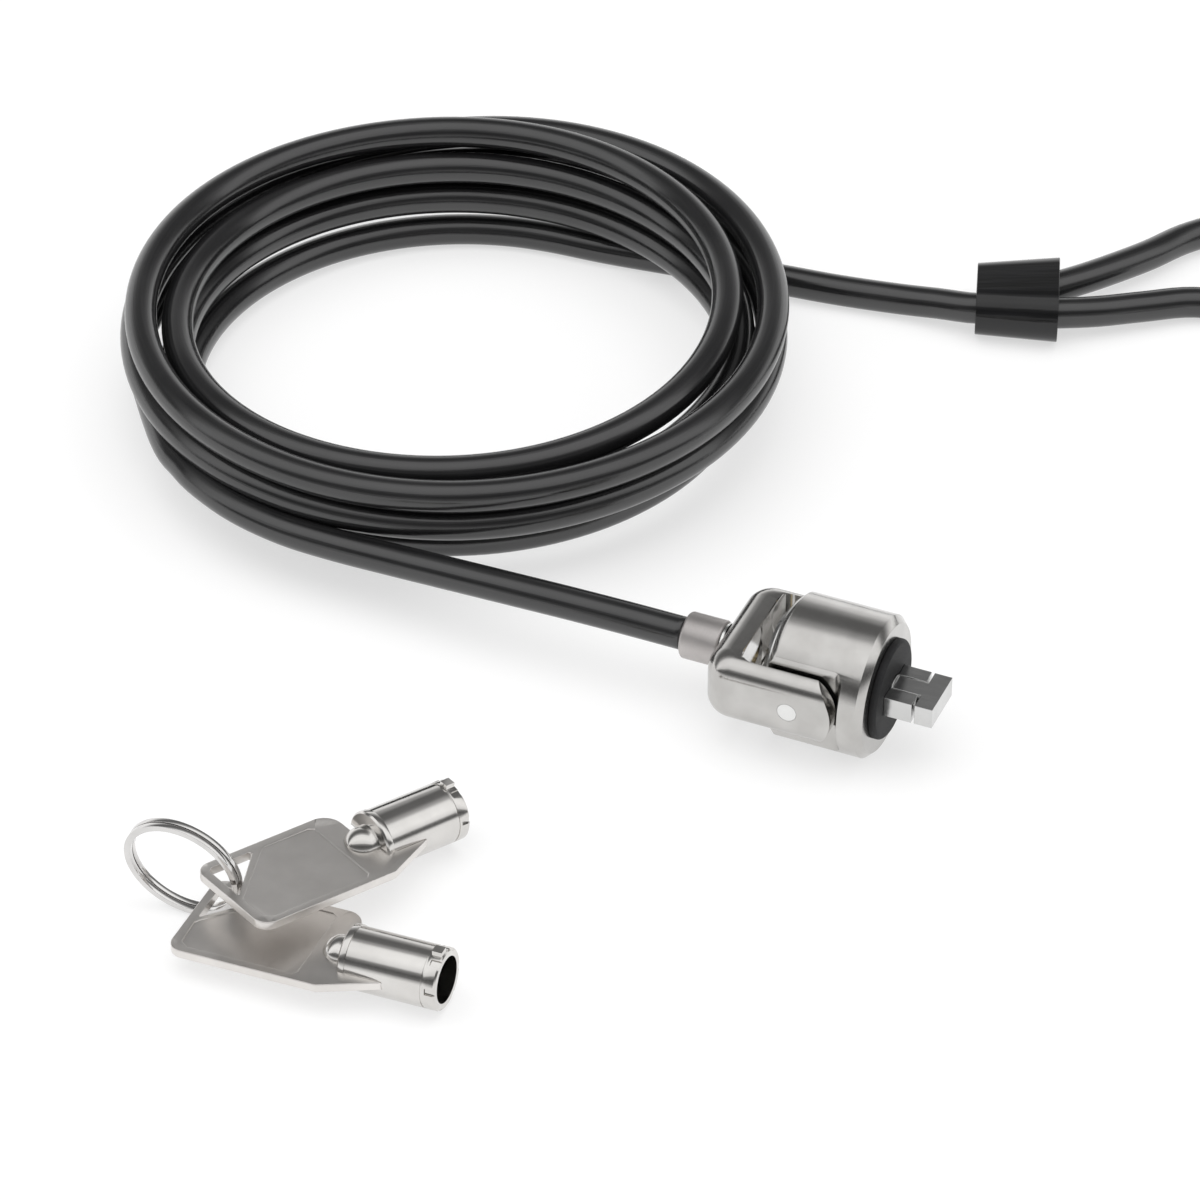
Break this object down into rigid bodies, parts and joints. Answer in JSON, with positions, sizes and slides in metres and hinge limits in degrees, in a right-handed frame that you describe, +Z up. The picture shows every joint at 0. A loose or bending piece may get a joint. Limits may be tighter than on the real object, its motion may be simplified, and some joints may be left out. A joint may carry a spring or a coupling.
{
  "type": "laptop cable lock",
  "caption": "Keyed cable lock: T-bar lock head on a pivoting, swivelling yoke, coated steel cable in a loose coil with a loop end, two tubular keys on a ring.",
  "frame": {"origin": "centre of the rubber bumper's front face, on the lock's axis; the floor that the part lies on is at z = -8.85 mm", "axes": "+X along the lock's axis towards the T-bar, +Z up with the cable coil lying flat, +Y towards the coil"},
  "size_m": [0.2201, 0.2046, 0.0192],
  "materials": {
    "body_chrome": "satin nickel-chrome plate on cast zinc",
    "tool_steel": "bright machined",
    "pin_steel": "bright",
    "core_brass": "turned",
    "satin_nickel": "satin, lightly turned",
    "bumper_rubber": "matte moulded",
    "cable_vinyl": "glossy charcoal coating",
    "sleeve_plastic": "glossy black",
    "ring_steel": "polished flat spring wire",
    "key_nickel": "bright nickel plate",
    "key_satin": "satin nickel plate with sunk panels"
  },
  "bodies": {
    "cable": {"ferrule": "satin_nickel", "rope_end": "pin_steel", "swivel_stud": "pin_steel", "swivel_washer": "pin_steel", "cable_lead": "cable_vinyl", "cable_coil": "cable_vinyl", "cable_tail": "cable_vinyl", "cable_loop": "cable_vinyl", "loop_crimp": "satin_nickel", "loop_sleeve": "sleeve_plastic"},
    "yoke": {"yoke": "body_chrome", "pivot_pins": "pin_steel", "pivot_washers": "pin_steel"},
    "head": {"lock_body": "body_chrome", "bumper_pad": "bumper_rubber", "slot_prongs": "tool_steel", "thrust_washer": "core_brass", "core_sleeve": "tool_steel", "pin_block": "core_brass", "driver_pins": "pin_steel", "pin_springs": "pin_steel", "core_set_pin": "pin_steel"},
    "tee": {"t_bar": "tool_steel", "core_rotor": "core_brass", "key_pins": "pin_steel"},
    "key_ring": {"split_ring": "ring_steel"},
    "key_a": {"key_bow_a": "key_satin", "key_tube_a": "key_nickel"},
    "key_b": {"key_bow_b": "key_satin", "key_tube_b": "key_nickel"}
  },
  "joints": [
    {"name": "yoke_swivel", "type": "hinge", "parent": "cable", "child": "yoke", "pos_m": [-0.02, 0, 0], "axis": [1, 0, 0], "continuous": true},
    {"name": "head_pivot", "type": "hinge", "parent": "yoke", "child": "head", "pos_m": [-0.0101, 0, 0], "axis": [0, 1, 0], "range_deg": [-28, 90]},
    {"name": "t_bar_turn", "type": "hinge", "parent": "head", "child": "tee", "pos_m": [0, 0, 0], "axis": [1, 0, 0], "range_deg": [0, 90]},
    {"name": "key_set_lift", "type": "slide", "parent": "cable", "child": "key_ring", "axis": [0, 0, 1], "range_m": [0, 0.05]},
    {"name": "key_a_swing", "type": "hinge", "parent": "key_ring", "child": "key_a", "pos_m": [-0.0565, -0.06115, -0.0014], "axis": [0.0142, 0.101, 0.9948], "range_deg": [-5, 7]},
    {"name": "key_b_swing", "type": "hinge", "parent": "key_ring", "child": "key_b", "pos_m": [-0.05847, -0.06047, -0.00575], "axis": [-0.0356, 0.0342, 0.9988], "range_deg": [-15, 0]}
  ]
}
